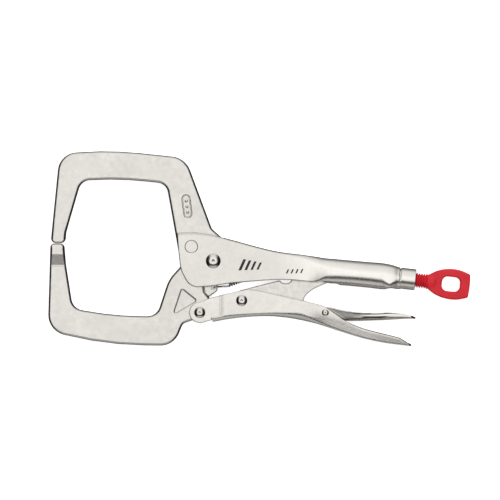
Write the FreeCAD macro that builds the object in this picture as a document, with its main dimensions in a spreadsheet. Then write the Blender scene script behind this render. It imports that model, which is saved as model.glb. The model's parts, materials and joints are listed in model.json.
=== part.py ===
import FreeCAD, Part

import math
import os

import Sketcher
from FreeCAD import Placement, Rotation, Vector

# Locking C clamp, lying on its side. Everything is drawn from the main pivot,
# X along the handles, Y across them and Z through the thickness, and each
# sub-part's placement then moves it so that the origin is under the middle.

SIZES = {
    # middle of the clamp's box, from the main pivot, and half its thickness
    "origin_x": 34.96,
    "origin_y": 9.14,
    "half_height": 9.5,
    # forged arms
    "fixed_jaw_thick": 9.2,
    "moving_jaw_thick": 9.0,
    "tip_thick": 12.0,
    "lug_thick": 2.0,
    "lug_bore": 2.6,
    "eye_width": 17.6,
    # pressed steel
    "handle_sheet": 2.2,
    "lever_sheet": 2.0,
    "cheek_gap": 9.3,
    "ear_width": 15.8,
    "collar_width": 15.6,
    "collar_length": 16.0,
    # toggle link and release lever
    "link_thick": 7.0,
    "link_eye": 13.8,
    "release_sheet": 1.6,
    "release_nose_thick": 6.0,
    # pivots, from the main pivot
    "lever_pivot_x": -10.26,
    "lever_pivot_y": -39.14,
    "link_pivot_x": 21.58,
    "link_pivot_y": -30.02,
    "release_pivot_x": 85.04,
    "release_pivot_y": -39.29,
    "flush_rivet_x": -16.64,
    "flush_rivet_y": 10.79,
    # rivets: shank, head, rise of the head and half the width they hold
    "main_shank": 8.0,
    "main_head": 11.3,
    "main_rise": 2.5,
    "main_grip": 6.9,
    "lever_shank": 6.0,
    "lever_head": 8.5,
    "lever_rise": 2.2,
    "lever_grip": 6.65,
    "link_shank": 6.0,
    "link_head": 8.5,
    "link_rise": 1.9,
    "link_grip": 7.5,
    "release_shank": 3.6,
    "release_head": 5.3,
    "release_rise": 1.2,
    "release_grip": 7.55,
    "flush_shank": 9.4,
    "pin_play": 0.1,
    # adjusting screw, 7/16 inch with 14 threads to the inch
    "screw_x": 153.6,
    "screw_y": -14.59,
    "screw_crest": 11.1,
    "screw_root": 9.4,
    "screw_pitch": 1.814,
    "screw_play": 0.14,
    "journal": 5.0,
    "journal_length": 7.0,
    "loop_thick": 7.5,
    # return spring, from its hole in the moving jaw's lug to the one in the handle's tab
    "spring_width": 6.5,
    "spring_wire": 1.3,
    "spring_front_x": 0.0,
    "spring_front_y": -20.6,
    "spring_back_x": 47.7,
    "spring_back_y": -3.88,
    # tab bent down out of the handle's roof for the spring
    "tab_start": 46.6,
    "tab_top": 6.0,
    "tab_bottom": -7.0,
    "tab_width": 5.0,
    "window_length": 9.0,
}

SCREW_TILT = -6.5        # degrees between the handles and the screw's axis
THROUGH = "120"          # longer than any sub-part is wide, for cuts that pass right through
PIVOT = {"main": ("0", "0")}
for pivot_name in ("lever", "link", "release"):
    PIVOT[pivot_name] = (f"Sizes.{pivot_name}_pivot_x", f"Sizes.{pivot_name}_pivot_y")
FLUSH = ("Sizes.flush_rivet_x", "Sizes.flush_rivet_y")

doc = FreeCAD.newDocument("locking_c_clamp")
sheet = doc.addObject("Spreadsheet::Sheet", "Sizes")
for row, (alias, number) in enumerate(SIZES.items(), start=1):
    sheet.set(f"A{row}", alias)
    sheet.set(f"B{row}", str(number))
    sheet.setAlias(f"B{row}", alias)
doc.recompute()


def size(alias):
    """Number that the sheet holds under this alias."""
    return float(sheet.get(alias))


# ---------------------------------------------------------------- drawing

def draw_outline(sketch, corners):
    """Closed outline through (x, y, rounding) corners, each rounded by a tangent arc."""
    count = len(corners)
    bends = []
    for index, (x, y, rounding) in enumerate(corners):
        corner = Vector(x, y, 0)
        back = Vector(*corners[index - 1][:2], 0) - corner
        ahead = Vector(*corners[(index + 1) % count][:2], 0) - corner
        if rounding == 0:
            bends.append((corner, None, corner))
            continue
        back.normalize()
        ahead.normalize()
        half_angle = back.getAngle(ahead) / 2
        reach = rounding / math.tan(half_angle)
        inward = (back + ahead).normalize()
        middle = corner + inward * (rounding / math.sin(half_angle) - rounding)
        start, stop = corner + back * reach, corner + ahead * reach
        bends.append((start, Part.Arc(start, middle, stop), stop))
    for index, (start, arc, stop) in enumerate(bends):
        if arc is not None:
            sketch.addGeometry(arc)
        following = bends[(index + 1) % count][0]
        run = following - stop
        side = Vector(*corners[(index + 1) % count][:2], 0) - Vector(*corners[index][:2], 0)
        if run.Length > 1e-4 and run.dot(side) < 0:
            raise RuntimeError(f"roundings overlap after corner {index} of {sketch.Label}")
        if run.Length > 1e-4:
            sketch.addGeometry(Part.LineSegment(stop, following))


def draw_circle(sketch, diameter):
    """Circle about the sketch's origin, its diameter bound to the sheet."""
    circle = sketch.addGeometry(Part.Circle(Vector(), Vector(0, 0, 1), 1.0))
    sketch.addConstraint(Sketcher.Constraint("Coincident", circle, 3, -1, 1))
    bound = sketch.addConstraint(Sketcher.Constraint("Diameter", circle, 2.0))
    sketch.renameConstraint(bound, "diameter")
    sketch.setExpression("Constraints.diameter", diameter)


def both_sides(half):
    """Corners on one side of the X axis, then their mirror images back to the start."""
    return half + [(x, -y, rounding) for x, y, rounding in reversed(half) if y != 0]


# ------------------------------------------------- Part Design shorthand

def new_body(label):
    body = doc.addObject("PartDesign::Body", label)
    body.Label = label
    return body


def new_sketch(body, label, plane="XY_Plane", x="0", y="0", z="0"):
    """Sketch on one of the body's own planes, shifted in its own axes."""
    sketch = body.newObject("Sketcher::SketchObject", label)
    for feature in body.Origin.OriginFeatures:
        if feature.Role == plane:
            sketch.AttachmentSupport = (feature, "")
    sketch.MapMode = "FlatFace"
    for axis, shift in (("x", x), ("y", y), ("z", z)):
        if shift != "0":
            sketch.setExpression(f".AttachmentOffset.Base.{axis}", shift)
    return sketch


def pad(body, sketch, thickness):
    """Plate of this thickness, half on each side of the sketch."""
    feature = body.newObject("PartDesign::Pad", f"{sketch.Label}_pad")
    feature.Profile = sketch
    feature.SideType = "Symmetric"
    feature.setExpression("Length", thickness)
    doc.recompute()
    return feature


def cut_through(body, sketch):
    """Opening right through the body, both ways from the sketch."""
    before = body.Shape.Volume
    feature = body.newObject("PartDesign::Pocket", f"{sketch.Label}_pocket")
    feature.Profile = sketch
    feature.SideType = "Symmetric"
    feature.Type = "ThroughAll"
    doc.recompute()
    if body.Shape.Volume >= before:
        raise RuntimeError(f"{feature.Label} cuts nothing")
    return feature


def bore(body, label, diameter, centre):
    """Round hole through the thickness at a pivot."""
    hole = new_sketch(body, f"{label}_bore", x=centre[0], y=centre[1])
    draw_circle(hole, diameter)
    return cut_through(body, hole)


def sink(body, label, corners, level, depth, side):
    """Shallow recess in the face that lies at this level, on the +Z or -Z side."""
    recess = new_sketch(body, label, z=f"{side} * {level}")
    draw_outline(recess, corners)
    before = body.Shape.Volume
    feature = body.newObject("PartDesign::Pocket", f"{label}_pocket")
    feature.Profile = recess
    feature.Length = depth
    feature.Reversed = side < 0
    doc.recompute()
    if body.Shape.Volume >= before:
        raise RuntimeError(f"{feature.Label} cuts nothing")


# ------------------------------------------------------- Part shorthand

def free_sketch(label, corners, placement=Placement()):
    """Outline outside any body, for the lofts and prisms of the pressed parts."""
    sketch = doc.addObject("Sketcher::SketchObject", label)
    sketch.Placement = placement
    draw_outline(sketch, corners)
    return sketch


def prism(label, corners, thickness, placement=Placement()):
    """Flat outline swept the same distance both ways."""
    extrusion = doc.addObject("Part::Extrusion", label)
    extrusion.Base = free_sketch(f"{label}_outline", corners, placement)
    extrusion.DirMode = "Normal"
    extrusion.Solid = True
    extrusion.Symmetric = True
    extrusion.setExpression("LengthFwd", thickness)
    return extrusion


def channel(label, stations, inset=0.0, lift=0.0):
    """Loft through upright rounded boxes that stand across the handle.

    A station is (x, half width, top, bottom, top rounding, bottom rounding).
    The inset makes every box smaller all round, for the inside of a sheet, and
    the lift raises its top again, to leave the channel open. The inside starts
    a little before the outside, so that the front end is open.
    """
    smallest = 0.3
    overrun = 3.0
    sections = []
    for number, (x, half, top, bottom, over, under) in enumerate(stations):
        if inset and number == 0:
            x -= overrun
        half -= inset
        top += lift - inset
        bottom += inset
        over = max(over - inset, smallest)
        under = max(under - inset, smallest)
        box = [(-half, bottom, under), (half, bottom, under), (half, top, over), (-half, top, over)]
        across = Placement(Vector(x, 0, 0), Rotation(Vector(0, 1, 0), -90))
        sections.append(free_sketch(f"{label}_section_{number}", box, across))
    loft = doc.addObject("Part::Loft", label)
    loft.Sections = sections
    loft.Solid = True
    loft.Ruled = inset > 0
    return loft


def round_bar(label, diameter, length, centre=("0", "0")):
    """Cylinder along Z at a pivot, the same length both ways."""
    bar = doc.addObject("Part::Cylinder", label)
    bar.setExpression("Radius", f"({diameter}) / 2")
    bar.setExpression("Height", length)
    bar.setExpression(".Placement.Base.x", centre[0])
    bar.setExpression(".Placement.Base.y", centre[1])
    bar.setExpression(".Placement.Base.z", f"-({length}) / 2")
    return bar


def block(label, corner, lengths):
    """Box from its lowest corner, each number bound to the sheet."""
    box = doc.addObject("Part::Box", label)
    for side, axis, start, length in zip(("Length", "Width", "Height"), "xyz", corner, lengths):
        box.setExpression(side, length)
        box.setExpression(f".Placement.Base.{axis}", start)
    return box


def fused(label, shapes):
    union = doc.addObject("Part::MultiFuse", label)
    union.Shapes = shapes
    return union


def minus(label, base, *tools):
    """Base less each tool in turn; the last cut carries the label."""
    for number, tool in enumerate(tools, start=1):
        last = number == len(tools)
        cut = doc.addObject("Part::Cut", label if last else f"{label}_less_{tool.Label}")
        cut.Base = base
        cut.Tool = tool
        base = cut
    return base


def overlap(label, base, tool):
    common = doc.addObject("Part::Common", label)
    common.Base = base
    common.Tool = tool
    return common


def stand(item, x="0", y="0"):
    """Put a finished sub-part in the clamp's frame, on the surface it lies on."""
    item.setExpression(".Placement.Base.x", f"{x} - Sizes.origin_x")
    item.setExpression(".Placement.Base.y", f"{y} - Sizes.origin_y")
    item.setExpression(".Placement.Base.z", "Sizes.half_height")
    return item


# -------------------------------------------------------------- fixed jaw

def thin_arm(body, label, slope_start, slope_end, level_end, arm_thick):
    """Thin the arm behind its tip: both faces slope in from one Y to the next, then run level."""
    tip_face = size("tip_thick") / 2
    arm_face = size(arm_thick) / 2
    outside = size("tip_thick")
    for side in (1, -1):
        ramp = new_sketch(body, f"{label}_slope_{side + 1}", plane="YZ_Plane")
        draw_outline(ramp, [
            (slope_start, side * tip_face, 0), (slope_end, side * arm_face, 0),
            (level_end, side * arm_face, 0), (level_end, side * outside, 0),
            (slope_start, side * outside, 0),
        ])
        cut_through(body, ramp)


def thin_root(body, label, region, arm_thick):
    """Bring the rear of the arm, which the tip's slopes don't reach, to the arm's thickness."""
    depth = (size("tip_thick") - size(arm_thick)) / 2
    for side in (1, -1):
        sink(body, f"{label}_{side + 1}", region, "Sizes.tip_thick / 2", depth, side)


def make_fixed_jaw():
    """Upper forged arm: an open C whose tang is held between the handle's cheeks."""
    eye_gap = 1.2
    mark_depth = 0.5
    body = new_body("fixed_jaw")
    arm = new_sketch(body, "fixed_arm")
    draw_outline(arm, [
        (-123.2, 13.8, 2.3), (-116.5, 81.5, 14.8), (-78.5, 84.4, 250), (-21.7, 78.3, 16.7),
        (-1.7, 24.2, 6.1), (6.7, 17.0, 0.6), (6.7, 14.8, 0.8), (18.8, 11.3, 1.1),
        (18.8, 6.4, 1.1), (-7.8, 6.4, 0), (-14.7, 3.0, 3), (-25.2, 3.0, 1.5),
        (-35.1, 59.2, 8.4), (-71.7, 63.0, 250), (-100.9, 61.3, 9.1), (-110.4, 29.2, 15),
        (-112.5, 21.6, 2.3), (-113.0, 13.8, 2.3),
    ])
    pad(body, arm, "Sizes.tip_thick")
    thin_arm(body, "fixed_tip", 21.4, 30.3, 100, "fixed_jaw_thick")
    thin_root(body, "fixed_tang", [(-60, -5, 0), (40, -5, 0), (40, 30, 0), (-60, 30, 0)],
              "fixed_jaw_thick")
    bore(body, "fixed_jaw_rivet", "Sizes.flush_shank", FLUSH)
    clearance = new_sketch(body, "eye_clearance")
    draw_circle(clearance, f"Sizes.eye_width + 2 * {eye_gap}")
    cut_through(body, clearance)
    sink(body, "oval_mark", [
        (-24.3, 49.7, 3.1), (-18.0, 50.5, 3.1), (-15.7, 32.9, 3.1), (-22.0, 32.1, 3.1),
    ], "Sizes.fixed_jaw_thick / 2", mark_depth, 1)
    return stand(body)


# ------------------------------------------------------------- moving jaw

def make_moving_jaw():
    """Lower forged arm, with an eye for each pivot and a thin lug for the spring."""
    recess_depth = 0.9
    body = new_body("moving_jaw")
    arm = new_sketch(body, "moving_arm")
    draw_outline(arm, [
        (-123.3, 12.9, 2.7), (-125.9, -53.1, 15.7), (-82.6, -63.5, 265), (-29.9, -64.1, 15.2),
        (-23.1, -47.7, 4.6), (-15.7, -45.1, 0), (-5.5, -44.0, 0), (-3.4, -39.1, 0),
        (-3.0, -27.8, 1.9), (-7.1, -18.7, 9.1), (-4.8, -11.1, 4), (6.0, -6.4, 0),
        (-4.3, 7.6, 0), (-23.0, -3.1, 6.1), (-33.2, -14.1, 28), (-42.6, -42.6, 9.7),
        (-76.2, -42.3, 245), (-107.1, -36.5, 9.9), (-112.8, -2.4, 15), (-113.9, 12.9, 2.7),
    ])
    pad(body, arm, "Sizes.tip_thick")
    thin_arm(body, "moving_tip", 5.2, -3.5, -80, "moving_jaw_thick")
    thin_root(body, "moving_root", [(-60, -30, 0), (40, -30, 0), (40, 30, 0), (-60, 30, 0)],
              "moving_jaw_thick")
    for label, diameter, centre in (
        ("main_eye", "Sizes.eye_width", PIVOT["main"]),
        ("lever_eye", "Sizes.link_eye", PIVOT["lever"]),
    ):
        eye = new_sketch(body, label, x=centre[0], y=centre[1])
        draw_circle(eye, diameter)
        pad(body, eye, "Sizes.moving_jaw_thick")
    lug = new_sketch(body, "spring_lug")
    draw_outline(lug, [
        (-9.0, -17.0, 0), (-4.6, -28.0, 0.8), (-1.4, -26.1, 1.5), (3.2, -22.8, 2.2),
        (3.2, -17.6, 1.5), (-2.0, -16.5, 0),
    ])
    pad(body, lug, "Sizes.lug_thick")
    bore(body, "main_pivot", "Sizes.main_shank + Sizes.pin_play", PIVOT["main"])
    bore(body, "lever_pivot", "Sizes.lever_shank + Sizes.pin_play", PIVOT["lever"])
    bore(body, "spring_hook", "Sizes.lug_bore", ("Sizes.spring_front_x", "Sizes.spring_front_y"))
    triangle = [(-24.1, -20.3, 1.5), (-11.8, -30.2, 1.5), (-31.2, -41.7, 1.5)]
    for side in (1, -1):
        sink(body, f"triangle_recess_{side + 1}", triangle, "Sizes.moving_jaw_thick / 2",
             recess_depth, side)
    return stand(body)


# ----------------------------------------------------------- upper handle

# x, half width, top, bottom, top rounding, bottom rounding
UPPER_STATIONS = [
    (-32.9, 6.85, 21.4, -22.5, 2.0, 0.5),
    (-17.7, 6.85, 22.4, -22.5, 2.0, 0.5),
    (-3.3, 6.85, 20.7, -22.5, 2.2, 0.5),
    (6.6, 6.85, 18.0, -21.5, 2.5, 0.5),
    (17.3, 6.85, 15.1, -20.0, 3.2, 0.5),
    (32.5, 6.85, 10.9, -18.3, 4.5, 0.6),
    (47.7, 7.1, 7.3, -17.4, 5.5, 1.0),
    (70.1, 8.0, 4.3, -17.1, 6.5, 2.0),
    (82.6, 8.8, 2.4, -16.6, 7.5, 4.0),
    (100.1, 9.35, 0.7, -17.8, 9.0, 8.5),
    (118.3, 9.44, -0.8, -20.0, 9.2, 9.2),
    (129.7, 9.44, -2.1, -21.3, 9.2, 9.2),
    (137.3, 8.9, -3.6, -20.9, 8.5, 8.5),
    (141.9, 7.9, -5.4, -21.3, 7.8, 7.8),
]


def point_back(label, diameter, length, ahead=0.0):
    """Cylinder on the screw's axis, from the collar's end back into the handle."""
    tilt = math.radians(SCREW_TILT)
    along = Vector(math.cos(tilt), math.sin(tilt), 0)
    start = Vector(size("screw_x"), size("screw_y"), 0) + along * ahead
    bar = doc.addObject("Part::Cylinder", label)
    bar.setExpression("Radius", f"({diameter}) / 2")
    bar.setExpression("Height", length)
    bar.Placement = Placement(start, Rotation(Vector(0, 0, 1), along.negative()))
    return bar


def make_upper_handle():
    """One steel sheet: flat cheeks, a rounded roof, a rolled grip and a tapped collar."""
    half_gap = size("cheek_gap") / 2
    seam = 4.3
    facing_up = Rotation(Vector(1, 0, 0), -90)
    skin = channel("upper_skin", UPPER_STATIONS)
    side = prism("upper_side", [
        (-27.4, 34.9, 0), (-27.3, 15.9, 150), (-24.9, -6.5, 22.8), (-17.7, -20.4, 10.6),
        (-1.0, -19.2, 45), (14.2, -16.8, 76), (53.7, -13.7, 136), (82.2, -16.9, 0.8),
        (84.1, -23.6, 0), (160.0, -31.0, 0), (160.0, 34.9, 0),
    ], THROUGH)
    pressed = overlap("upper_pressed", skin, side)
    collar = point_back("upper_collar", "Sizes.collar_width", "Sizes.collar_length")
    thread = point_back("upper_thread_bore", "Sizes.screw_crest + Sizes.screw_play",
                        "Sizes.collar_length * 1.8", ahead=1.0)
    hollow = channel("upper_hollow", UPPER_STATIONS[:-1], inset=size("handle_sheet"))
    floor = prism("upper_floor_slot", both_sides([
        (-40.0, half_gap, 0), (48.0, half_gap, 20), (82.5, 6.2, 2), (84.5, seam, 1),
        (96.0, seam, 4.2),
    ]), "20", Placement(Vector(0, -22, 0), facing_up))
    mouth = prism("upper_mouth", both_sides([(-40.0, half_gap, 0), (7.1, half_gap, 0.6)]),
                  THROUGH, Placement(Vector(), facing_up))
    shell = minus("upper_shell", fused("upper_solid", [pressed, collar]),
                  hollow, floor, mouth, thread)
    window = block("upper_tab_window",
                   ("Sizes.tab_start - Sizes.window_length", "4", "-Sizes.tab_width / 2"),
                   ("Sizes.window_length", "10", "Sizes.tab_width"))
    tab = block("upper_spring_tab",
                ("Sizes.tab_start", "Sizes.tab_bottom", "-Sizes.tab_width / 2"),
                ("Sizes.handle_sheet", "Sizes.tab_top - Sizes.tab_bottom", "Sizes.tab_width"))
    hook = doc.addObject("Part::Cylinder", "upper_tab_hole")
    hook.setExpression("Radius", "Sizes.lug_bore / 2")
    hook.setExpression("Height", "4 * Sizes.handle_sheet")
    hook.Placement.Rotation = Rotation(Vector(0, 1, 0), 90)
    hook.setExpression(".Placement.Base.x", "Sizes.tab_start - 2 * Sizes.handle_sheet")
    hook.setExpression(".Placement.Base.y", "Sizes.spring_back_y")
    with_tab = fused("upper_with_tab", [minus("upper_open", shell, window), tab])
    handle = minus(
        "upper_handle", with_tab, hook,
        round_bar("upper_main_bore", "Sizes.main_shank", THROUGH, PIVOT["main"]),
        round_bar("upper_flush_bore", "Sizes.flush_shank", THROUGH, FLUSH),
    )
    return stand(handle)


# ----------------------------------------------------------- lower handle

# x, half width, bottom and bottom rounding of the channel
LOWER_STATIONS = [
    (-5.0, 7.5, -47.3, 3.6),
    (11.0, 7.5, -44.2, 3.6),
    (26.0, 7.5, -42.5, 3.6),
    (41.0, 7.5, -41.9, 3.6),
    (56.0, 7.5, -43.1, 3.7),
    (72.0, 7.5, -45.9, 3.8),
    (86.0, 7.5, -49.9, 4.0),
    (101.0, 7.6, -54.6, 4.2),
    (116.0, 7.8, -59.1, 4.5),
    (131.0, 8.0, -61.9, 4.5),
    (144.0, 7.6, -63.9, 4.5),
    (153.0, 6.8, -65.5, 4.5),
]


def make_lower_handle():
    """Pressed channel, open at the top, with two ears that straddle the moving jaw."""
    depth = 30.0
    stations = []
    for x, half, bottom, under in LOWER_STATIONS:
        stations.append((x, half, bottom + depth, bottom, 1.0, under))
    facing_up = Placement(Vector(0, size("link_pivot_y"), 0), Rotation(Vector(1, 0, 0), -90))
    skin = channel("lower_skin", stations)
    side = prism("lower_side", [
        (4.4, -26.4, 0), (25.6, -21.6, 19), (34.0, -22.6, 45), (84.1, -34.0, 16.7),
        (100.1, -45.9, 30), (115.3, -51.8, 90), (141.9, -58.3, 9), (150.9, -63.6, 0.8),
        (150.6, -70.0, 0), (-6.0, -52.0, 0), (0.4, -42.6, 0.5), (4.4, -41.4, 1.5),
    ], THROUGH)
    hollow = channel("lower_hollow", stations, inset=size("lever_sheet"), lift=10.0)
    plan = prism("lower_plan", both_sides([(-10.0, 9.0, 0), (150.6, 9.0, 7.5)]), THROUGH,
                 facing_up)
    trough = minus("lower_trough", overlap("lower_pressed", skin, side), hollow)
    rounded = overlap("lower_rounded", trough, plan)
    ear_plate = prism("lower_ear_plate", [
        (-9.7, -31.3, 0), (-3.9, -28.7, 8), (8.4, -25.5, 0), (8.4, -43.6, 0),
        (-0.4, -45.2, 1.5), (-9.7, -47.0, 0),
    ], "2 * Sizes.lever_grip")
    ear_round = round_bar("lower_ear_round", "Sizes.ear_width", "2 * Sizes.lever_grip",
                          PIVOT["lever"])
    between = block("lower_ear_gap", ("-30", "-60", "-Sizes.cheek_gap / 2"),
                    ("40", "40", "Sizes.cheek_gap"))
    ears = minus("lower_ears", fused("lower_ear_blank", [ear_plate, ear_round]), between)
    handle = minus(
        "lower_handle", fused("lower_blank", [rounded, ears]),
        round_bar("lower_lever_bore", "Sizes.lever_shank", THROUGH, PIVOT["lever"]),
        round_bar("lower_link_bore", "Sizes.link_shank", THROUGH, PIVOT["link"]),
        round_bar("lower_release_bore", "Sizes.release_shank", THROUGH, PIVOT["release"]),
    )
    return stand(handle)


# ------------------------------------------------------------ toggle link

def make_toggle_link():
    """Thick plate from the link rivet to the adjusting screw, with a nose and a toe."""
    body = new_body("toggle_link")
    plate = new_sketch(body, "link_plate")
    draw_outline(plate, [
        (19.9, -23.3, 0), (50.4, -15.7, 0.8), (52.0, -18.2, 3.9), (58.4, -18.2, 3.9),
        (63.6, -3.9, 6.1), (87.2, -3.0, 4.9), (91.9, -8.1, 4.9), (88.7, -15.7, 6.1),
        (75.0, -21.7, 22.8), (68.6, -27.4, 9.1), (68.2, -33.9, 2.3), (21.5, -36.9, 0),
    ])
    pad(body, plate, "Sizes.link_thick")
    eye = new_sketch(body, "link_eye", x=PIVOT["link"][0], y=PIVOT["link"][1])
    draw_circle(eye, "Sizes.link_eye")
    pad(body, eye, "Sizes.link_thick")
    bore(body, "link_pivot", "Sizes.link_shank + Sizes.pin_play", PIVOT["link"])
    return stand(body)


# ---------------------------------------------------------- release lever

# x, half width, top, bottom and rounding of the release lever's trough
RELEASE_STATIONS = [
    (78.5, 5.3, -36.4, -43.0, 2.0),
    (86.0, 5.3, -34.9, -44.6, 2.2),
    (98.0, 5.3, -37.2, -45.4, 2.4),
    (110.0, 5.3, -39.3, -45.5, 2.6),
    (122.0, 5.4, -39.9, -45.2, 2.6),
    (133.0, 5.7, -39.5, -44.7, 2.4),
    (143.0, 5.8, -40.3, -44.1, 1.8),
    (149.0, 5.6, -41.4, -43.9, 1.2),
    (153.8, 5.2, -42.2, -44.1, 0.9),
]


def make_release_lever():
    """Thumb trough on the release rivet, with a nose that reaches under the link's toe."""
    stations = []
    for x, half, top, bottom, under in RELEASE_STATIONS:
        stations.append((x, half, top, bottom, 0.3, under))
    facing_up = Placement(Vector(0, size("release_pivot_y"), 0), Rotation(Vector(1, 0, 0), -90))
    skin = channel("release_skin", stations)
    hollow = channel("release_hollow", stations, inset=size("release_sheet"), lift=4.0)
    plan = prism("release_plan", both_sides([(60.0, 6.5, 0), (153.8, 6.5, 5.5)]), THROUGH,
                 facing_up)
    trough = overlap("release_trough", minus("release_open", skin, hollow), plan)
    nose = prism("release_nose", [
        (64.5, -38.7, 0.8), (80.0, -36.6, 0), (84.0, -42.4, 0), (78.0, -42.9, 0),
        (64.8, -41.4, 1.0),
    ], "Sizes.release_nose_thick")
    web = prism("release_web", [
        (78.0, -36.9, 0), (80.5, -36.7, 0), (80.5, -42.9, 0), (78.0, -42.7, 0),
    ], "10")
    lever = minus(
        "release_lever", fused("release_blank", [trough, web, nose]),
        round_bar("release_bore", "Sizes.release_shank + Sizes.pin_play", THROUGH,
                  PIVOT["release"]),
    )
    return stand(lever)


# ----------------------------------------------------------------- rivets

def make_rivet(label, name, centre):
    """Shank with a low brim and a domed head on each side."""
    brim = 0.5
    grip, head, rise = (f"Sizes.{name}_{part}" for part in ("grip", "head", "rise"))
    shank = round_bar(f"{label}_shank", f"Sizes.{name}_shank", f"2 * {grip}")
    pieces = [shank]
    crown = f"({rise} - {brim})"
    ball = f"(({head} / 2)^2 + {crown}^2) / (2 * {crown})"
    for side in (1, -1):
        rim = doc.addObject("Part::Cylinder", f"{label}_rim_{side + 1}")
        rim.setExpression("Radius", f"{head} / 2")
        rim.Height = brim
        rim.setExpression(".Placement.Base.z", grip if side > 0 else f"-{grip} - {brim}")
        dome = doc.addObject("Part::Sphere", f"{label}_dome_{side + 1}")
        dome.setExpression("Radius", ball)
        dome.setExpression("Angle1", f"asin(({ball} - {crown}) / ({ball}))")
        dome.Placement.Rotation = Rotation(Vector(1, 0, 0), 0 if side > 0 else 180)
        dome.setExpression(".Placement.Base.z", f"{side} * ({grip} + {rise} - {ball})")
        pieces += [rim, dome]
    return stand(fused(label, pieces), *centre)


def make_flush_rivet():
    """Plain pin, riveted over and ground level with both cheeks."""
    edge = 0.2
    rivet = doc.addObject("Part::Chamfer", "fixed_jaw_rivet")
    rivet.Base = round_bar("fixed_jaw_pin", "Sizes.flush_shank",
                           "Sizes.cheek_gap + 2 * Sizes.handle_sheet")
    rivet.Edges = [(1, edge, edge), (3, edge, edge)]
    return stand(rivet, *FLUSH)


# -------------------------------------------------------- adjusting screw

SEAM = -8.0          # where the shank ends and the grip's neck begins, from the collar's end
SHANK_END = -58.8    # inner end of the shank
NECK_END = 9.6       # where the thread runs out into the loop


def threaded(start, stop):
    """Half profile of thread rings from start to stop, as (x, y, 0) corners."""
    pitch = size("screw_pitch")
    crest = size("screw_crest") / 2
    root = size("screw_root") / 2
    corners = []
    count = int((stop - start) / pitch)
    for ring in range(count):
        base = start + ring * pitch
        corners += [(base, root, 0), (base + 0.38 * pitch, crest, 0), (base + 0.62 * pitch, crest, 0)]
    corners += [(start + count * pitch, root, 0)]
    return corners


def spin(body, label, corners):
    """Solid turned about the body's X axis."""
    profile = new_sketch(body, label)
    draw_outline(profile, corners)
    feature = body.newObject("PartDesign::Revolution", f"{label}_turned")
    feature.Profile = profile
    feature.ReferenceAxis = (profile, ["H_Axis"])
    feature.Angle = 360
    doc.recompute()
    return feature


def on_screw_axis(body):
    body.Placement.Rotation = Rotation(Vector(0, 0, 1), SCREW_TILT)
    return stand(body, "Sizes.screw_x", "Sizes.screw_y")


def make_adjusting_screw():
    """Threaded shank; its journal carries the grip, and its round end faces the link."""
    body = new_body("adjusting_screw")
    journal = size("journal") / 2
    journal_end = SEAM + size("journal_length")
    start = SHANK_END + 3.0
    rings = threaded(start, SEAM)
    profile = [(SHANK_END, 0, 0), (SHANK_END, 4.4, 2.0), (start - 0.2, 4.7, 0)]
    profile += rings + [(SEAM, rings[-1][1], 0), (SEAM, journal, 0)]
    profile += [(journal_end, journal, 0.5), (journal_end, 0, 0)]
    spin(body, "shank", profile)
    return on_screw_axis(body)


def make_screw_grip():
    """Threaded neck and flat loop, turned with the fingers or with a bar through the loop."""
    body = new_body("screw_grip")
    socket = (size("journal") + size("pin_play")) / 2
    socket_end = SEAM + size("journal_length") + 0.5
    rings = threaded(SEAM + 0.1, NECK_END)
    profile = [(SEAM + 0.1, socket, 0)] + rings
    profile += [(NECK_END + 0.6, 5.2, 0), (14.0, 4.9, 0), (16.0, 0, 0), (socket_end, 0, 0),
                (socket_end, socket, 0)]
    spin(body, "neck", profile)
    loop = new_sketch(body, "loop")
    draw_outline(loop, both_sides([
        (9.9, 5.2, 0), (12.2, 5.2, 6), (21.5, 11.6, 9), (33.0, 11.5, 16), (41.0, 9.2, 3.5),
        (41.8, 0, 60),
    ]))
    pad(body, loop, "Sizes.loop_thick")
    hole = new_sketch(body, "loop_hole")
    draw_outline(hole, [(20.2, 5.5, 4.2), (34.0, 5.5, 4.2), (34.0, -5.5, 4.2), (20.2, -5.5, 4.2)])
    cut_through(body, hole)
    return on_screw_axis(body)


# ---------------------------------------------------------- return spring

def make_return_spring():
    """Extension spring: the coil's outer shape, straight legs and a hook at each end."""
    front = Vector(size("spring_front_x"), size("spring_front_y"), 0)
    back = Vector(size("spring_back_x"), size("spring_back_y"), 0)
    wire = size("spring_wire")
    along = (back - front).normalize()
    turn = Rotation(Vector(0, 0, 1), along)
    hook_radius = 2.2
    coil_start = 12.8
    coil_stop = 43.5
    pieces = []
    for label, start, stop, diameter in (
        ("spring_coil", coil_start, coil_stop, "Sizes.spring_width"),
        ("spring_hollow", coil_start + wire, coil_stop - wire,
         "Sizes.spring_width - 2 * Sizes.spring_wire"),
        ("spring_front_leg", 2 * hook_radius, coil_start + wire, "Sizes.spring_wire"),
        ("spring_back_leg", coil_stop - wire, front.distanceToPoint(back), "Sizes.spring_wire"),
    ):
        bar = doc.addObject("Part::Cylinder", label)
        bar.setExpression("Radius", f"({diameter}) / 2")
        bar.Height = stop - start
        bar.Placement = Placement(front + along * start, turn)
        pieces.append(bar)
    for label, centre, turned in (
        ("spring_front_hook", front + along * hook_radius,
         Rotation(Vector(0, 0, 1), Vector(0, 0, 1).cross(along))),
        ("spring_back_hook", back - Vector(0, hook_radius, 0), Rotation()),
    ):
        hook = doc.addObject("Part::Torus", label)
        hook.Radius1 = hook_radius
        hook.setExpression("Radius2", "Sizes.spring_wire / 2")
        hook.Placement = Placement(centre, turned)
        pieces.append(hook)
    coil = minus("spring_tube", pieces[0], pieces[1])
    return stand(fused("return_spring", [coil] + pieces[2:]))


# ------------------------------------------------------------- everything

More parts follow.
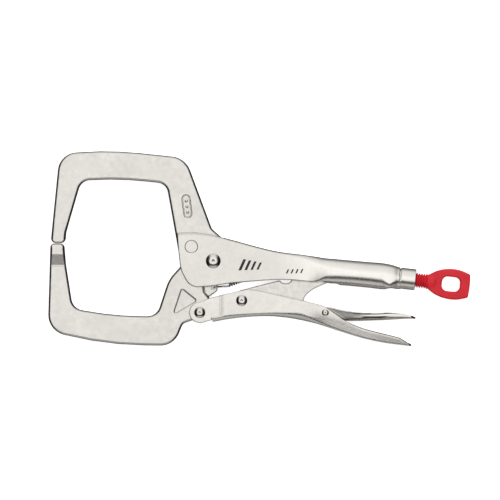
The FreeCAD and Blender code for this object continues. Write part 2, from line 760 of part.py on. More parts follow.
sub_parts = [
    make_upper_handle(),
    make_fixed_jaw(),
    make_flush_rivet(),
    make_rivet("main_pivot_rivet", "main", PIVOT["main"]),
    make_moving_jaw(),
    make_rivet("jaw_lever_rivet", "lever", PIVOT["lever"]),
    make_lower_handle(),
    make_rivet("link_rivet", "link", PIVOT["link"]),
    make_toggle_link(),
    make_release_lever(),
    make_rivet("release_rivet", "release", PIVOT["release"]),
    make_return_spring(),
    make_adjusting_screw(),
    make_screw_grip(),
]
doc.recompute()

for item in doc.Objects:
    if "Invalid" in item.State or "Error" in item.State:
        raise RuntimeError(f"{item.Label} failed: {item.State}")
for item in sub_parts:
    if item.Shape.isNull() or not item.Shape.isValid():
        raise RuntimeError(f"{item.Label} has no valid shape")

os.makedirs("parts", exist_ok=True)
for item in sub_parts:
    item.Shape.exportStep(f"parts/{item.Label}.step")
    box = item.Shape.BoundBox
    print(f"{item.Label}: {len(item.Shape.Solids)} solid, {item.Shape.Volume / 1000:.2f} cm3, "
          f"{box.XLength:.1f} x {box.YLength:.1f} x {box.ZLength:.1f} mm")
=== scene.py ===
import json
import math

import bpy
import numpy as np
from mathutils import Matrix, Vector


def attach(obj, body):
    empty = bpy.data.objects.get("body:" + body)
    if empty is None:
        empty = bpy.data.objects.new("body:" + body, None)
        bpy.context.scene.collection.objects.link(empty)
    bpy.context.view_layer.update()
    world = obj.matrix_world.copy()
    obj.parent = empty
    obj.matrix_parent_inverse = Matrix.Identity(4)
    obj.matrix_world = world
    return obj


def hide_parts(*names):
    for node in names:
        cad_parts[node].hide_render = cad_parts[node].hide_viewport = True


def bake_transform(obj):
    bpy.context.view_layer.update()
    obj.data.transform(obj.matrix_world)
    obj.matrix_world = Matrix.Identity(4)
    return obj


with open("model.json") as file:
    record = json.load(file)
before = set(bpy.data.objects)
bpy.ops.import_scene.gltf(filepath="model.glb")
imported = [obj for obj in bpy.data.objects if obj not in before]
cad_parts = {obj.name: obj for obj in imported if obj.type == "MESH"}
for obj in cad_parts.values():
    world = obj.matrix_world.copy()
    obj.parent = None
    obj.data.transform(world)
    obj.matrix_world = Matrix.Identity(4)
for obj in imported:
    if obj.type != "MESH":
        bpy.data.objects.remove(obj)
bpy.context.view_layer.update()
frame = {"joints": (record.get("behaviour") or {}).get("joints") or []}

# Locking C clamp. Shapes are drawn in millimetres from the main pivot, as
# distance fields with rounded edges, and meshed in the row frame in metres.

JOINTS = {joint["name"]: joint for joint in frame["joints"]}
ORIGIN = np.array(JOINTS["jaw_open"]["pos_m"])


def from_pivot(joint):
    """A joint's place in the drawing, in millimetres from the main pivot."""
    return (np.array(JOINTS[joint]["pos_m"]) - ORIGIN)[:2] * 1000


LEVER_PIVOT = from_pivot("lever_swing")
LINK_PIVOT = from_pivot("link_swing")
RELEASE_PIVOT = from_pivot("release_press")
FLUSH_PIVOT = (-16.64, 10.79)
SCREW_START = from_pivot("screw_turn")
SCREW_AXIS = np.array(JOINTS["screw_turn"]["axis"])[:2]
LUG_EYE, TAB_EYE = (0, -20.6), (47.7, -3.88)  # where the spring's two hooks hold
CHEEKS_INSIDE = 4.65  # half the room between the cheeks, and between the ears
TIPS_BEFORE = -60.0  # the jaws' tips and feet lie before this x, their arms behind it


# ------------------------------------------------------------ distance fields

def smooth_step(value, start, end):
    """Eased share from 0 at the start to 1 at the end."""
    share = np.clip((value - start) / (end - start), 0.0, 1.0)
    return share * share * (3.0 - 2.0 * share)


def both(a, b, rounding=0.0):
    """Overlap of two shapes, its edges rounded to this radius."""
    u, v = a + rounding, b + rounding
    corner = np.hypot(np.maximum(u, 0.0), np.maximum(v, 0.0))
    return corner + np.minimum(np.maximum(u, v), 0.0) - rounding


def without(a, b, rounding=0.0):
    """First shape less the second, its new edges rounded to this radius."""
    return both(a, -b, rounding)


def joined(a, b, fillet=0.0):
    """Two shapes as one, with a fillet of about this radius where they meet."""
    if fillet == 0.0:
        return np.minimum(a, b)
    blend = np.maximum(fillet - np.abs(a - b), 0.0) / fillet
    return np.minimum(a, b) - blend * blend * fillet / 4.0


def disc(x, y, centre, radius):
    """Distance to a round rod along Z."""
    return np.hypot(x - centre[0], y - centre[1]) - radius


def box(x, y, z, low, high):
    """Distance to an upright block."""
    away = np.maximum(np.maximum(low[0] - x, x - high[0]), np.maximum(low[1] - y, y - high[1]))
    return np.maximum(away, np.maximum(low[2] - z, z - high[2]))


def near_line(x, y, z, start, stop):
    """Distance to a straight line between two points."""
    ahead = np.array(stop, float) - start
    share = ((x - start[0]) * ahead[0] + (y - start[1]) * ahead[1] + (z - start[2]) * ahead[2])
    share = np.clip(share / (ahead @ ahead), 0, 1)
    return np.hypot(np.hypot(x - start[0] - share * ahead[0], y - start[1] - share * ahead[1]),
                    z - start[2] - share * ahead[2])


def dots_through(corners):
    """Closed line through (x, y, rounding) corners, each rounded by a tangent arc."""
    dots = []
    count = len(corners)
    for index, (x, y, rounding) in enumerate(corners):
        corner = np.array((x, y), float)
        back = np.array(corners[index - 1][:2], float) - corner
        ahead = np.array(corners[(index + 1) % count][:2], float) - corner
        back /= np.linalg.norm(back)
        ahead /= np.linalg.norm(ahead)
        if rounding == 0:
            dots.append(corner)
            continue
        half = math.acos(np.clip(back @ ahead, -1, 1)) / 2
        inward = (back + ahead) / np.linalg.norm(back + ahead)
        centre = corner + inward * rounding / math.sin(half)
        start = corner + back * rounding / math.tan(half) - centre
        stop = corner + ahead * rounding / math.tan(half) - centre
        sweep = math.atan2(start[0] * stop[1] - start[1] * stop[0], start @ stop)
        steps = max(3, int(abs(sweep) / 0.06))
        for step in range(steps + 1):
            turn = sweep * step / steps
            cos, sin = math.cos(turn), math.sin(turn)
            turned = (cos * start[0] - sin * start[1], sin * start[0] + cos * start[1])
            dots.append(centre + turned)
    return np.array(dots)


def forged(flat, z, half, draft):
    """Forging from a flat outline: drafted flanks, rounded edges, a hair under size."""
    rounding, under_size = 1.2, 0.02
    return both(flat + draft * np.abs(z), np.abs(z) - half, rounding) + under_size


class Outline:
    """Signed distance to a closed outline, looked up in a fine table."""

    def __init__(self, corners, spacing=0.25, margin=9.0):
        dots = dots_through(corners)
        self.low = dots.min(0) - margin
        self.spacing = spacing
        counts = np.ceil((dots.max(0) + margin - self.low) / spacing).astype(int) + 2
        x = (self.low[0] + spacing * np.arange(counts[0]))[:, None]
        y = (self.low[1] + spacing * np.arange(counts[1]))[None, :]
        nearest = np.full(counts, 1e12)
        inside = np.zeros(counts, bool)
        for (ax, ay), (bx, by) in zip(dots, np.roll(dots, -1, 0)):
            ex, ey = bx - ax, by - ay
            length = ex * ex + ey * ey
            if length < 1e-12:
                continue
            share = np.clip(((x - ax) * ex + (y - ay) * ey) / length, 0, 1)
            nearest = np.minimum(nearest, (x - ax - ex * share) ** 2 + (y - ay - ey * share) ** 2)
            if ay != by:
                inside ^= ((ay <= y) != (by <= y)) & (x < ax + (y - ay) * ex / ey)
        self.table = np.where(inside, -1, 1) * np.sqrt(nearest)

    def __call__(self, x, y):
        u = np.clip((x - self.low[0]) / self.spacing, 0, self.table.shape[0] - 1.001)
        v = np.clip((y - self.low[1]) / self.spacing, 0, self.table.shape[1] - 1.001)
        i, j = np.floor(u).astype(int), np.floor(v).astype(int)
        u, v = u - i, v - j
        t = self.table
        return ((t[i, j] * (1 - u) + t[i + 1, j] * u) * (1 - v)
                + (t[i, j + 1] * (1 - u) + t[i + 1, j + 1] * u) * v)


def both_sides(half):
    """Corners of a symmetric outline from those of its +Y half."""
    return half + [(x, -y, rounding) for x, y, rounding in reversed(half) if y != 0]


def smooth_curve(stations):
    """Curve through rows of (x, value, value, ...), each value with its own easy slope."""
    table = np.array(stations, float)
    xs, values = table[:, 0], table[:, 1:]
    steps = np.diff(xs)[:, None]
    slopes = np.diff(values, axis=0) / steps
    tangent = np.vstack([slopes[:1], (slopes[:-1] + slopes[1:]) / 2, slopes[-1:]])
    turning = slopes[:-1] * slopes[1:] <= 0
    tangent[1:-1][turning] *= 0.35

    def at(x):
        x = np.clip(x, xs[0], xs[-1])
        k = np.clip(np.searchsorted(xs, x, side="right") - 1, 0, len(xs) - 2)
        h = (xs[k + 1] - xs[k])[..., None]
        t = ((x - xs[k])[..., None]) / h
        found = ((2 * t**3 - 3 * t**2 + 1) * values[k] + (t**3 - 2 * t**2 + t) * h * tangent[k]
                 + (3 * t**2 - 2 * t**3) * values[k + 1] + (t**3 - t**2) * h * tangent[k + 1])
        return [found[..., n] for n in range(found.shape[-1])]

    return at


def section(y, z, half, top, bottom, over, under):
    """Distance to a rounded box that stands across the handle."""
    middle, reach = (top + bottom) / 2, (top - bottom) / 2
    rounding = np.where(y > middle, over, under)
    rounding = np.minimum(rounding, np.minimum(half, reach))
    u = np.abs(z) - half + rounding
    v = np.abs(y - middle) - reach + rounding
    return (np.minimum(np.maximum(u, v), 0) + np.hypot(np.maximum(u, 0), np.maximum(v, 0))
            - rounding)


# ------------------------------------------------------------------- meshing

def surface(name, field, low, high, step, body, slot, *nodes):
    """Mesh where the field is zero, riding on a body in place of its CAD nodes."""
    low = np.array(low, float)
    counts = np.ceil((np.array(high) - low) / step).astype(int) + 1
    x, y, z = (low[a] + step * np.arange(counts[a]) for a in range(3))
    value = np.empty(tuple(counts), np.float32)
    value[:] = field(x[:, None, None], y[None, :, None], z[None, None, :])
    inside = value < 0
    cells = counts - 1
    corners = [(i, j, k) for i in (0, 1) for j in (0, 1) for k in (0, 1)]
    filled = sum(
        inside[i:i + cells[0], j:j + cells[1], k:k + cells[2]].astype(np.int8)
        for i, j, k in corners
    )
    at = np.argwhere((filled > 0) & (filled < 8))
    index = np.full(tuple(cells), -1, np.int64)
    index[tuple(at.T)] = np.arange(len(at))
    total, found = np.zeros((len(at), 3)), np.zeros(len(at))
    slope = np.zeros((len(at), 3))
    for axis in range(3):
        unit = np.eye(3, dtype=int)[axis]
        for offset in corners:
            if offset[axis]:
                continue
            start = at + offset
            a = value[tuple(start.T)].astype(float)
            b = value[tuple((start + unit).T)].astype(float)
            slope[:, axis] += b - a
            crossed = (a < 0) != (b < 0)
            place = start.astype(float)
            place[:, axis] += np.where(crossed, a / np.where(crossed, a - b, 1), 0)
            total[crossed] += place[crossed]
            found += crossed
    points = low + step * total / found[:, None]
    # two short steps along the slope put the points on the true surface
    slope /= np.maximum(np.linalg.norm(slope, axis=1), 1e-9)[:, None]
    for _ in range(2):
        off = np.clip(field(*points.T), -step / 2, step / 2)
        points -= slope * off[:, None]
    quads = []
    for axis in range(3):
        one, two = [a for a in range(3) if a != axis]
        near = [slice(None)] * 3
        near[axis] = slice(0, -1)
        far = [slice(None)] * 3
        far[axis] = slice(1, None)
        edges = inside[tuple(near)] != inside[tuple(far)]
        start = np.argwhere(edges)
        keep = (start[:, one] > 0) & (start[:, two] > 0)
        keep &= (start[:, one] < cells[one]) & (start[:, two] < cells[two])
        start = start[keep]
        ring = []
        for back_one, back_two in ((1, 1), (0, 1), (0, 0), (1, 0)):
            cell = start.copy()
            cell[:, one] -= back_one
            cell[:, two] -= back_two
            ring.append(index[tuple(cell.T)])
        quad = np.stack(ring, 1)
        outward = inside[tuple(start.T)] == (axis != 1)
        quads.append(np.where(outward[:, None], quad, quad[:, ::-1]))
    return piece(name, points, np.vstack(quads).tolist(), body, slot, *nodes)


def piece(name, points, faces, body, slot, *nodes):
    """Smooth mesh from points in millimetres, riding on a body."""
    mesh = bpy.data.meshes.new(name)
    mesh.from_pydata((np.asarray(points) / 1000 + ORIGIN).tolist(), [], faces)
    mesh.polygons.foreach_set("use_smooth", [True] * len(mesh.polygons))
    obj = bpy.data.objects.new(name, mesh)
    bpy.context.scene.collection.objects.link(obj)
    if nodes:
        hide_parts(*nodes)
    if body:
        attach(obj, body)
    return obj


def lathe(name, profile, centre, body, slot, node):
    """Solid turned about Z from (radius, height) points, mirrored to the underside."""
    turns = 96
    profile = profile + [(radius, -height) for radius, height in reversed(profile)]
    angles = np.linspace(0, 2 * math.pi, turns, endpoint=False)
    points = [(centre[0] + radius * math.cos(a), centre[1] + radius * math.sin(a), height)
              for radius, height in profile for a in angles]
    faces = []
    for ring in range(len(profile) - 1):
        for k in range(turns):
            n = (k + 1) % turns
            faces.append((ring * turns + k, (ring + 1) * turns + k,
                          (ring + 1) * turns + n, ring * turns + n))
    faces.append(tuple(range(turns)))
    last = (len(profile) - 1) * turns
    faces.append(tuple(last + k for k in reversed(range(turns))))
    return piece(name, points, faces, body, slot, node)


# ----------------------------------------------------------------- materials

def shader(name, colour, metallic, roughness):
    """New material with its node tree and its principled shader."""
    material = bpy.data.materials.new(name)
    material.use_nodes = True
    tree = material.node_tree
    principled = tree.nodes["Principled BSDF"]
    principled.inputs["Base Color"].default_value = (*colour, 1)
    principled.inputs["Metallic"].default_value = metallic
    principled.inputs["Roughness"].default_value = roughness
    return material, tree, principled


def noise(tree, scale, detail, stretch=(1, 1, 1)):
    """Noise in metres of the object's own space."""
    place = tree.nodes.new("ShaderNodeTexCoord")
    mapping = tree.nodes.new("ShaderNodeMapping")
    mapping.inputs["Scale"].default_value = stretch
    texture = tree.nodes.new("ShaderNodeTexNoise")
    texture.inputs["Scale"].default_value = scale
    texture.inputs["Detail"].default_value = detail
    tree.links.new(place.outputs["Object"], mapping.inputs["Vector"])
    tree.links.new(mapping.outputs["Vector"], texture.inputs["Vector"])
    return texture.outputs["Fac"]


def ramp(tree, value, stops):
    """Colour looked up between (place, colour) stops."""
    node = tree.nodes.new("ShaderNodeValToRGB")
    node.color_ramp.elements[0].position, node.color_ramp.elements[0].color = stops[0]
    node.color_ramp.elements[1].position, node.color_ramp.elements[1].color = stops[-1]
    for place, colour in stops[1:-1]:
        node.color_ramp.elements.new(place).color = colour
    tree.links.new(value, node.inputs["Fac"])
    return node.outputs["Color"]


def grey(level, tint=(1, 1, 1)):
    """Opaque colour of one level, tinted."""
    return (level * tint[0], level * tint[1], level * tint[2], 1)


def add_bump(tree, principled, layers):
    """Bump from (height, strength, depth in metres) layers."""
    previous = None
    for height, strength, depth in layers:
        node = tree.nodes.new("ShaderNodeBump")
        node.inputs["Strength"].default_value = strength
        node.inputs["Distance"].default_value = depth
        tree.links.new(height, node.inputs["Height"])
        if previous is not None:
            tree.links.new(previous, node.inputs["Normal"])
        previous = node.outputs["Normal"]
    tree.links.new(previous, principled.inputs["Normal"])


def nickel(name, level, roughness, grain, grain_scale, streaks=0.0, hammered=0.0, far=None):
    """Nickel plate: warm grey metal with grain, cloudy wear and faint drawing marks.

    far is the level on the tube, past the flat cheeks. It is painted light: the tube's colour is
    made brighter than the cheeks' to stand in for how the light falls on it.
    """
    tint = (1.0, 0.966, 0.912)
    material, tree, principled = shader(name, grey(level, tint)[:3], 1.0, roughness)
    cloud = noise(tree, 45, 4)
    colour = ramp(tree, cloud, [(0.3, grey(level * 0.95, tint)),
                                (0.7, grey(level * 1.035, tint))])
    # painted light: the base colour turns from the cheeks' level to the brighter tube level
    # between x 45 and 85 mm
    if far:
        painted_tube_colour = ramp(tree, cloud, [(0.3, grey(far * 0.97, tint)),
                                      (0.7, grey(far * 1.02, tint))])
        place = tree.nodes.new("ShaderNodeTexCoord")
        split = tree.nodes.new("ShaderNodeSeparateXYZ")
        tree.links.new(place.outputs["Object"], split.inputs["Vector"])
        reach = tree.nodes.new("ShaderNodeMapRange")
        reach.interpolation_type = "SMOOTHSTEP"
        cheeks_end, tube_start = ORIGIN[0] + 0.045, ORIGIN[0] + 0.085
        reach.inputs["From Min"].default_value = cheeks_end
        reach.inputs["From Max"].default_value = tube_start
        tree.links.new(split.outputs["X"], reach.inputs["Value"])
        mix = tree.nodes.new("ShaderNodeMix")
        mix.data_type = "RGBA"
        tree.links.new(reach.outputs["Result"], mix.inputs["Factor"])
        tree.links.new(colour, mix.inputs["A"])
        tree.links.new(painted_tube_colour, mix.inputs["B"])
        colour = mix.outputs["Result"]
    tree.links.new(colour, principled.inputs["Base Color"])
    rough = ramp(tree, noise(tree, 320, 5),
                 [(0.3, grey(roughness * 0.82)), (0.72, grey(roughness * 1.18))])
    tree.links.new(rough, principled.inputs["Roughness"])
    layers = [(noise(tree, grain_scale, 2), grain, 0.00012)]
    if streaks:
        layers.append((noise(tree, 900, 3, (0.06, 1, 1)), streaks, 0.00006))
    if hammered:
        layers.append((noise(tree, 420, 1), hammered, 0.0003))
    add_bump(tree, principled, layers)
    return material


# level, roughness, grain and its scale
MATERIALS = {
    "jaw": nickel("blasted_nickel", 0.80, 0.33, 0.70, 1000),
    # far=0.92 paints the tube brighter than the cheeks: painted light
    "handle": nickel("satin_nickel", 0.75, 0.25, 0.14, 1000, streaks=0.12, far=0.92),
    "lever": nickel("satin_nickel_lever", 0.80, 0.28, 0.50, 900, streaks=0.05),
    "link": nickel("dull_nickel", 0.85, 0.40, 0.30, 1200),
    "rivet": nickel("polished_nickel", 0.78, 0.10, 0.10, 1000, hammered=0.35),
    "release": nickel("polished_release", 0.82, 0.10, 0.10, 500, streaks=0.15),
    "spring": nickel("spring_wire", 0.80, 0.22, 0.05, 1500),
}


def red_coating():
    material, tree, principled = shader("red_coating", (0.62, 0.018, 0.030), 0.0, 0.42)
    colour = ramp(tree, noise(tree, 90, 3), [(0.3, (0.56, 0.014, 0.024, 1)),
                                             (0.7, (0.62, 0.020, 0.032, 1))])
    tree.links.new(colour, principled.inputs["Base Color"])
    principled.inputs["Specular IOR Level"].default_value = 0.25
    rough = ramp(tree, noise(tree, 600, 3), [(0.3, grey(0.36)), (0.7, grey(0.50))])
    tree.links.new(rough, principled.inputs["Roughness"])
    add_bump(tree, principled, [(noise(tree, 1400, 2), 0.12, 0.00006)])
    return material


MATERIALS["red"] = red_coating()


def ink():
    material, tree, principled = shader("black_ink", (0.012, 0.012, 0.013), 0.0, 0.5)
    rough = ramp(tree, noise(tree, 900, 3), [(0.3, grey(0.42)), (0.7, grey(0.6))])
    tree.links.new(rough, principled.inputs["Roughness"])
    return material


MATERIALS["ink"] = ink()


def finish_with(obj, material):
    """Put one of the materials on a piece."""
    obj.data.materials.clear()
    obj.data.materials.append(MATERIALS[material])
    return obj


# ----------------------------------------------------------------- fixed jaw

fixed_arm = Outline([
    (-123.7, 13.4, 3.9), (-116.9, 81.5, 14.8), (-78.5, 84.4, 250), (-21.0, 78.3, 16.7),
    (-1.0, 24.4, 6.1), (6.9, 17.4, 0.6), (6.7, 14.8, 0.8), (18.8, 11.3, 1.1),
    (18.8, 6.4, 1.1), (-7.8, 6.4, 0), (-14.7, 3.0, 3), (-25.7, 3.0, 1.5),
    (-35.7, 58.6, 8.4), (-71.7, 62.5, 250), (-100.3, 60.9, 9.1), (-109.5, 29.2, 15),
    (-111.6, 21.6, 2.3), (-112.3, 13.4, 4.2),
])


def oval_relief(x, y):
    """Depth of the oval ring and of the field inside it, which leaves three pips."""
    centre, axis, axis_length = (-20.0, 41.3), (2.3, -17.6), 17.75
    straight, end_radius, pip_spacing = 5.7, 3.0, 4.3
    ring_depth, field_depth = 0.8, 0.4
    u, v = x - centre[0], y - centre[1]
    along = (u * axis[0] + v * axis[1]) / axis_length
    across = (v * axis[0] - u * axis[1]) / axis_length
    oval = np.hypot(np.maximum(np.abs(along) - straight, 0), across) - end_radius
    ring = smooth_step(oval, -0.75, -0.3) * smooth_step(oval, 0.25, -0.1)
    pips = np.minimum(np.hypot(np.abs(along) - pip_spacing, across), np.hypot(along, across))
    inside = smooth_step(oval, 0.0, -0.5) * smooth_step(pips, 0.7, 1.1)
    return np.maximum(ring_depth * ring, field_depth * inside)


def fixed_jaw_field(x, y, z):
    tip_half, arm_half = 6.0, 4.6
    slope_start, slope_height = 21.4, 8.9
    pivot_room, rivet_bore = 10.0, 4.7
    thin = np.clip((y - slope_start) / slope_height, 0, 1)
    thin = np.where(x > TIPS_BEFORE, 1.0, thin)
    half = tip_half - (tip_half - arm_half) * thin
    half = half - np.where(z > 0, oval_relief(x, y), 0)
    draft = 0.05 + 0.10 * smooth_step(y, 14.5, 17.5)
    body = forged(fixed_arm(x, y), z, half, draft)
    body = without(body, disc(x, y, (0, 0), pivot_room), 0.5)
    return without(body, disc(x, y, FLUSH_PIVOT, rivet_bore), 0.2)


finish_with(surface("fixed_jaw_forging", fixed_jaw_field, (-124.5, 1.5, -6.6), (20, 85, 6.6),
                    0.5, "frame", "jaw_nickel", "fixed_jaw"), "jaw")


# ---------------------------------------------------------------- moving jaw

moving_arm = Outline([
    (-123.8, 13.15, 2.9), (-125.8, -53.1, 15.7), (-82.6, -63.9, 265), (-29.9, -64.5, 15.2),
    (-23.1, -47.7, 4.6), (-15.7, -45.1, 0), (-5.5, -44.0, 0), (-3.4, -39.1, 0),
    (-3.0, -27.8, 1.2), (-6.6, -23.6, 4.0), (-7.1, -18.7, 4.0), (-4.8, -11.1, 4), (6.0, -6.4, 0),
    (-4.3, 7.6, 0), (-23.4, -2.6, 6.1), (-33.9, -14.0, 28), (-43.1, -42.0, 9.7),
    (-76.2, -41.7, 245), (-106.6, -36.1, 9.9), (-111.9, -2.4, 15), (-113.1, 13.15, 3.4),
])
triangle = Outline([(-24.1, -20.3, 1.5), (-11.8, -30.2, 1.5), (-31.2, -41.7, 1.5)])
lug = Outline([
    (-9.0, -17.0, 0), (-4.6, -28.0, 0.8), (-1.4, -26.1, 1.5), (3.2, -22.8, 2.2),
    (3.2, -17.6, 1.5), (-2.0, -16.5, 0),
])


def moving_jaw_field(x, y, z):
    tip_half, arm_half, foot_half = 6.0, 4.5, 3.7
    main_eye, lever_eye, recess_depth = 8.8, 6.9, 0.9
    lug_half, lug_chamfer = 1.0, 0.6
    hook_bore, main_bore, lever_bore = 1.3, 4.05, 3.05
    slope = np.interp(y, (-4.3, -3.5, 5.2), (arm_half, foot_half, tip_half))
    half = np.where(x > TIPS_BEFORE, arm_half, slope)
    half = half - recess_depth * smooth_step(triangle(x, y), 0.15, -0.55)
    flat = joined(moving_arm(x, y), disc(x, y, (0, 0), main_eye), 1.0)
    flat = joined(flat, disc(x, y, LEVER_PIVOT, lever_eye), 1.0)
    draft = 0.05 + 0.10 * smooth_step(y, 12.0, 9.0)
    body = forged(flat, z, half, draft)
    ear = both(lug(x, y) + lug_chamfer * np.abs(z), np.abs(z) - lug_half, 0.2)
    body = joined(body, ear, 0.9)
    body = without(body, disc(x, y, LUG_EYE, hook_bore), 0.3)
    body = without(body, disc(x, y, (0, 0), main_bore), 0.3)
    return without(body, disc(x, y, LEVER_PIVOT, lever_bore), 0.3)


finish_with(surface("moving_jaw_forging", moving_jaw_field, (-127, -66, -6.6), (10, 14, 6.6),
                    0.5, "jaw", "jaw_nickel", "moving_jaw"), "jaw")


# -------------------------------------------------------------- upper handle

# x, half width, top, bottom, top rounding, bottom rounding
upper_curve = smooth_curve([
    (-32.9, 6.85, 21.4, -22.5, 3.2, 0.5), (-17.7, 6.85, 22.4, -22.5, 3.2, 0.5),
    (-3.3, 6.85, 20.7, -22.5, 2.6, 0.5), (6.6, 6.85, 18.1, -21.5, 1.8, 0.5),
    (17.3, 6.85, 15.3, -20.0, 1.4, 0.5), (32.5, 6.85, 11.1, -18.3, 1.4, 0.6),
    (47.7, 7.1, 7.5, -17.4, 1.6, 0.8), (70.1, 8.0, 4.5, -17.1, 3.8, 1.2),
    (79.0, 8.55, 3.2, -17.4, 6.4, 2.9), (84.5, 8.9, 2.3, -17.9, 7.9, 6.6),
    (90.0, 9.15, 1.8, -18.2, 8.4, 8.6), (100.1, 9.35, 0.9, -18.7, 9.0, 9.0),
    (118.3, 9.44, -0.7, -20.4, 9.3, 9.3), (129.7, 9.44, -1.7, -21.6, 9.3, 9.3),
    (137.3, 8.9, -3.3, -21.3, 8.7, 8.7), (141.9, 7.9, -5.2, -21.3, 7.9, 7.9),
])
upper_side = Outline([
    (-27.4, 34.9, 0), (-27.3, 15.9, 150), (-24.9, -6.5, 22.8), (-17.7, -20.4, 10.6),
    (-1.0, -19.2, 45), (14.2, -16.8, 76), (53.7, -13.7, 136), (82.2, -16.9, 0.8),
    (84.1, -23.6, 0), (160.0, -31.0, 0), (160.0, 34.9, 0),
])
upper_floor = Outline(both_sides([
    (-40.0, CHEEKS_INSIDE, 0), (48.0, CHEEKS_INSIDE, 20), (82.5, 6.2, 2), (84.5, 4.3, 1),
    (96.0, 4.3, 4.2),
]))


def on_screw(x, y):
    """Place along the screw's axis from the collar's end, and across it."""
    u, v = x - SCREW_START[0], y - SCREW_START[1]
    return (u * SCREW_AXIS[0] + v * SCREW_AXIS[1], v * SCREW_AXIS[0] - u * SCREW_AXIS[1])


def swaged_skin(x, y, z):
    """Outside of the upper handle, and the curve's values with the cheeks' lean in them."""
    tube_end = 141.9
    crown_rate, crown_height = 0.0045, 10.0
    tuck_rate, tuck_top = 0.0082, -1.5
    bevel_slope, bevel_width = 0.42, 2.4
    fold_place, fold_reach, fold_depth = 133.8, 6.0, 4.2
    half, top, bottom, over, under = upper_curve(x)
    # the cheeks lean in under the roof, and again where they pass into the tube
    crown = crown_rate * np.maximum(y - top + crown_height, 0) ** 2 * smooth_step(x, 95, 75)
    tuck = tuck_rate * np.maximum(tuck_top - y, 0) ** 2
    tuck = tuck * smooth_step(x, 69, 79) * smooth_step(x, 91, 83)
    half = half - crown - tuck
    # the swaged end pulls a fold into the tube's underside before the collar
    under = under - fold_depth * np.maximum(1 - np.abs(x - fold_place) / fold_reach, 0)
    outer = section(y, z, half, top, bottom, over, under)
    outer = both(outer, x - tube_end)
    roof_share = smooth_step(x, 2, 12) * smooth_step(x, 84, 66)
    bevel = bevel_slope * roof_share * np.maximum(np.abs(z) - half + bevel_width, 0)
    outer = both(outer, y - top + bevel, 0.5)
    outer = both(outer, upper_side(x, y), 0.7)
    return outer, (half, top, bottom, over, under)


def upper_handle_field(x, y, z):
    sheet, least_rounding = 2.2, 0.4
    collar_radius, collar_length, collar_lift = 8.0, 16.0, 0.25
    groove_place, groove_radius, pinch_radius = 11.9, 0.55, 3.0
    bore, bore_depth = 5.62, 27.8
    mouth_end, hollow_end, floor_level = 7.1, 137.3, -11.5
    main_bore, rivet_bore, hook_bore = 3.98, 4.7, 1.3
    outer, (half, top, bottom, over, under) = swaged_skin(x, y, z)
    along, across = on_screw(x, y)
    radial = np.hypot(across, z)
    collar = both(np.hypot(across - collar_lift, z) - collar_radius,
                  np.maximum(-collar_length - along, along), 0.45)
    shell = joined(outer, collar, 0.8)
    groove = np.hypot(along + groove_place, radial - collar_radius)
    groove = groove - groove_radius * smooth_step(across, -3.0, 0.5)
    shell = without(shell, groove, 0.3)
    # a round tool's mark across the underside of the fold
    pinch = near_line(x, y, z, (134.6, -24.4, -6.0), (134.6, -24.4, 6.0)) - pinch_radius
    shell = without(shell, pinch, 2.4)
    inner = section(y, z, half - sheet, top - sheet, bottom + sheet,
                    np.maximum(over - sheet, least_rounding),
                    np.maximum(under - sheet, least_rounding))
    inner = both(inner, x - hollow_end)
    shell = without(shell, inner, 0.5)
    # the underside is open for the link, and the front for the jaws
    slot = both(upper_floor(x, z), y - floor_level)
    shell = without(shell, slot, 0.5)
    mouth = both(np.abs(z) - CHEEKS_INSIDE, x - mouth_end, 0.4)
    shell = without(shell, mouth, 0.5)
    shell = without(shell, np.maximum(radial - bore, -bore_depth - along), 0.4)
    # window in the roof, and the tab lanced out of it for the spring's back hook
    window = box(x, y, z, (37.6, 4.0, -2.5), (46.6, 14.0, 2.5))
    shell = without(shell, window, 0.3)
    tab_half, tab_rounding = 2.4, 0.3
    tab = box(x, y, z, (46.7, -7.0, -tab_half), (48.7, 5.4, tab_half)) + tab_rounding
    tab = both(tab, np.abs(z) - tab_half) - tab_rounding
    tab = without(tab, np.hypot(y - TAB_EYE[1], z) - hook_bore, 0.3)
    shell = joined(shell, tab, 0.8)
    shell = without(shell, disc(x, y, (0, 0), main_bore), 0.2)
    return without(shell, disc(x, y, FLUSH_PIVOT, rivet_bore))


finish_with(surface("upper_handle_shell", upper_handle_field, (-29, -24.5, -9.9),
                    (155, 23.5, 9.9), 0.42, "frame", "handle_nickel", "upper_handle"), "handle")


# -------------------------------------------------------------- lower handle

# x, half width, bottom, bottom rounding, then the height of the band next to the spine,
# how steeply it turns in, and how steeply the flank above it ends
lower_curve = smooth_curve([
    (-5.0, 7.5, -47.3, 1.2, 4.0, 0.80, 0.0), (11.0, 7.5, -44.2, 1.5, 3.4, 0.75, 0.0),
    (26.0, 7.5, -42.5, 2.0, 2.9, 0.70, 0.0), (41.0, 7.5, -41.9, 3.0, 2.7, 0.60, 0.0),
    (56.0, 7.5, -43.1, 4.6, 3.4, 0.30, 0.0), (66.0, 7.5, -44.8, 6.0, 4.5, 0.10, 0.0),
    (78.0, 7.5, -47.6, 3.0, 5.6, 0.24, 0.20), (88.0, 7.5, -50.7, 1.8, 5.8, 0.195, 0.225),
    (101.0, 7.6, -54.9, 1.3, 6.2, 0.185, 0.20), (116.0, 7.8, -59.3, 1.1, 5.6, 0.185, 0.175),
    (131.0, 8.0, -62.3, 1.0, 5.0, 0.21, 0.18), (144.0, 7.6, -64.0, 1.0, 4.6, 0.21, 0.18),
    (153.0, 6.8, -65.1, 1.0, 4.6, 0.21, 0.18),
])
lower_side = Outline([
    (4.4, -26.4, 0), (25.6, -21.6, 19), (34.0, -22.6, 45), (84.1, -34.0, 16.7),
    (100.1, -45.7, 30), (115.3, -51.4, 90), (141.9, -57.9, 9), (150.9, -63.6, 0.8),
    (150.6, -70.0, 0), (1.8, -52.0, 0), (-2.1, -41.3, 0.3), (4.4, -41.1, 0.5),
])
ear_outline = Outline([
    (-9.7, -31.3, 0), (-3.9, -28.7, 8), (8.4, -25.5, 0), (8.4, -41.6, 0),
    (-0.3, -41.8, 0), (-1.2, -44.9, 0.8), (-9.7, -47.0, 0),
])
